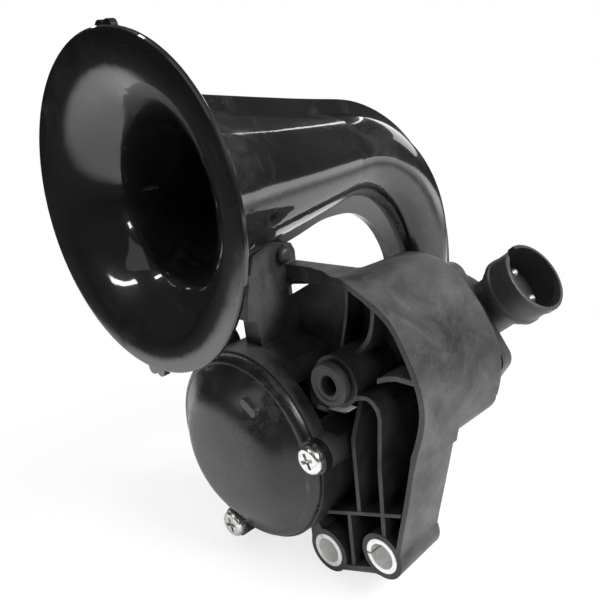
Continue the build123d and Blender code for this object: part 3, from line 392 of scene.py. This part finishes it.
fc = ft.nodes.new("ShaderNodeTexCoord")
fl = ft.nodes.new("ShaderNodeVectorMath")
fl.operation = "LENGTH"
ft.links.new(fc.outputs["Object"], fl.inputs[0])


def fade(r0, r1, v0, v1):
    n = ft.nodes.new("ShaderNodeMapRange")
    n.interpolation_type = "SMOOTHSTEP"
    for key, v in (("From Min", r0), ("From Max", r1), ("To Min", v0), ("To Max", v1)):
        n.inputs[key].default_value = v
    ft.links.new(fl.outputs["Value"], n.inputs["Value"])
    return n.outputs["Result"]


def pool(x, y, r0, r1, strength):
    """A soft round pool of light on the floor, for the reflections."""
    d = ft.nodes.new("ShaderNodeVectorMath")
    d.operation = "DISTANCE"
    d.inputs[1].default_value = (x, y, 0.0)
    ft.links.new(fc.outputs["Object"], d.inputs[0])
    n = ft.nodes.new("ShaderNodeMapRange")
    n.interpolation_type = "SMOOTHSTEP"
    for key, v in (("From Min", r0), ("From Max", r1), ("To Min", strength), ("To Max", 0.0)):
        n.inputs[key].default_value = v
    ft.links.new(d.outputs["Value"], n.inputs["Value"])
    return n.outputs["Result"]


fx = ft.nodes.new("ShaderNodeMixShader")
ft.links.new(fade(0.05, 0.24, 0.78, 1.0), fx.inputs[0])
ft.links.new(fb.outputs[0], fx.inputs[1])
ft.links.new(fe.outputs[0], fx.inputs[2])
dark = ft.nodes.new("ShaderNodeBsdfDiffuse")
dark.inputs["Color"].default_value = (0.05, 0.05, 0.05, 1.0)
table = ft.nodes.new("ShaderNodeMixShader")
ft.links.new(pool(-0.11, -0.02, 0.30, 0.46, 1.0), table.inputs[0])
ft.links.new(dark.outputs[0], table.inputs[1])
ft.links.new(fb.outputs[0], table.inputs[2])
total = None
for spot in ((0.40, 0.70, 0.16, 0.56, 2.5), (-0.26, -0.24, 0.05, 0.26, 0.5)):
    value = pool(*spot)
    if total is not None:
        add = ft.nodes.new("ShaderNodeMath")
        add.operation = "ADD"
        ft.links.new(total, add.inputs[0])
        ft.links.new(value, add.inputs[1])
        value = add.outputs[0]
    total = value
glow = ft.nodes.new("ShaderNodeEmission")
ft.links.new(total, glow.inputs["Strength"])
lit = ft.nodes.new("ShaderNodeAddShader")
ft.links.new(table.outputs[0], lit.inputs[0])
ft.links.new(glow.outputs[0], lit.inputs[1])
seen = ft.nodes.new("ShaderNodeLightPath")
both = ft.nodes.new("ShaderNodeMixShader")
ft.links.new(seen.outputs["Is Camera Ray"], both.inputs[0])
ft.links.new(lit.outputs[0], both.inputs[1])
ft.links.new(fx.outputs[0], both.inputs[2])
ft.links.new(both.outputs[0], ft.nodes["Material Output"].inputs["Surface"])
floor.data.materials.append(fm)

world = bpy.data.worlds.new("studio")
scene.world = world
world.use_nodes = True
wt = world.node_tree
wb = wt.nodes["Background"]
wc = wt.nodes.new("ShaderNodeTexCoord")
ws = wt.nodes.new("ShaderNodeSeparateXYZ")
wt.links.new(wc.outputs["Generated"], ws.inputs[0])
wr = wt.nodes.new("ShaderNodeValToRGB")
stops = [(0.0, 0.03), (0.30, 0.05), (0.70, 0.07), (1.0, 0.11)]
while len(wr.color_ramp.elements) < len(stops):
    wr.color_ramp.elements.new(0.5)
for el, (pos, v) in zip(wr.color_ramp.elements, stops):
    el.position, el.color = pos, (v, v, v * 1.01, 1.0)
wt.links.new(ws.outputs["Z"], wr.inputs["Fac"])
wt.links.new(wr.outputs["Color"], wb.inputs["Color"])
wb.inputs["Strength"].default_value = 1.0
white = wt.nodes.new("ShaderNodeBackground")
white.inputs["Color"].default_value = (1.0, 1.0, 1.0, 1.0)
wl = wt.nodes.new("ShaderNodeLightPath")
wm = wt.nodes.new("ShaderNodeMixShader")
wt.links.new(wl.outputs["Is Camera Ray"], wm.inputs[0])
wt.links.new(wb.outputs[0], wm.inputs[1])
wt.links.new(white.outputs[0], wm.inputs[2])
wt.links.new(wm.outputs[0], wt.nodes["World Output"].inputs["Surface"])

aim = Vector((-0.03, 0.02, 0.08))


def softbox(name, direction, distance, sx, sy, power, target=aim, spin=0.0):
    d = Vector(direction).normalized()
    light = bpy.data.lights.new(name, "AREA")
    light.shape = "RECTANGLE"
    light.size, light.size_y, light.energy = sx, sy, power
    o = bpy.data.objects.new(name, light)
    o.location = target + d * distance
    q = (-d).to_track_quat("-Z", "Y")
    o.rotation_mode = "QUATERNION"
    o.rotation_quaternion = q @ Matrix.Rotation(spin, 3, "Z").to_quaternion()
    scene.collection.objects.link(o)
    return o


def tube_lamp(name, a, b, width, power, target=aim):
    """A long narrow lamp from a to b, facing the object."""
    a, b = Vector(a), Vector(b)
    mid, along = (a + b) / 2, (b - a)
    light = bpy.data.lights.new(name, "AREA")
    light.shape = "RECTANGLE"
    light.size, light.size_y, light.energy = along.length, width, power
    o = bpy.data.objects.new(name, light)
    x = along.normalized()
    z = (mid - target).normalized()
    y = z.cross(x).normalized()
    z = x.cross(y).normalized()
    o.matrix_world = Matrix((
        (x.x, y.x, z.x, mid.x), (x.y, y.y, z.y, mid.y), (x.z, y.z, z.z, mid.z), (0.0, 0.0, 0.0, 1.0),
    ))
    scene.collection.objects.link(o)
    return o


softbox("key_right", (0.76, 0.20, 0.62), 1.25, 0.60, 0.50, 26.0)
softbox("bulb_right", (0.80, -0.34, 0.49), 0.75, 0.13, 0.11, 0.8, Vector((-0.062, -0.020, 0.112)))
softbox("back_wall", (-0.35, 0.90, 0.22), 1.30, 1.5, 0.30, 3.0)
softbox("top_front", (0.18, -0.55, 0.82), 1.25, 0.8, 0.6, 0.9)
tube_lamp("lamp_front", (-0.29, -0.77, 0.38), (-0.26, -0.58, 0.67), 0.055, 1.15)
tube_lamp("lamp_over", (-0.37, -0.37, 0.81), (-0.37, 0.20, 0.86), 0.060, 2.0)
tube_lamp("lamp_left", (-0.37, 0.23, 0.88), (-0.89, 0.00, 0.36), 0.035, 0.75)
tube_lamp("lamp_back", (-0.10, 0.80, 0.68), (-0.56, 0.80, 0.34), 0.020, 0.22)
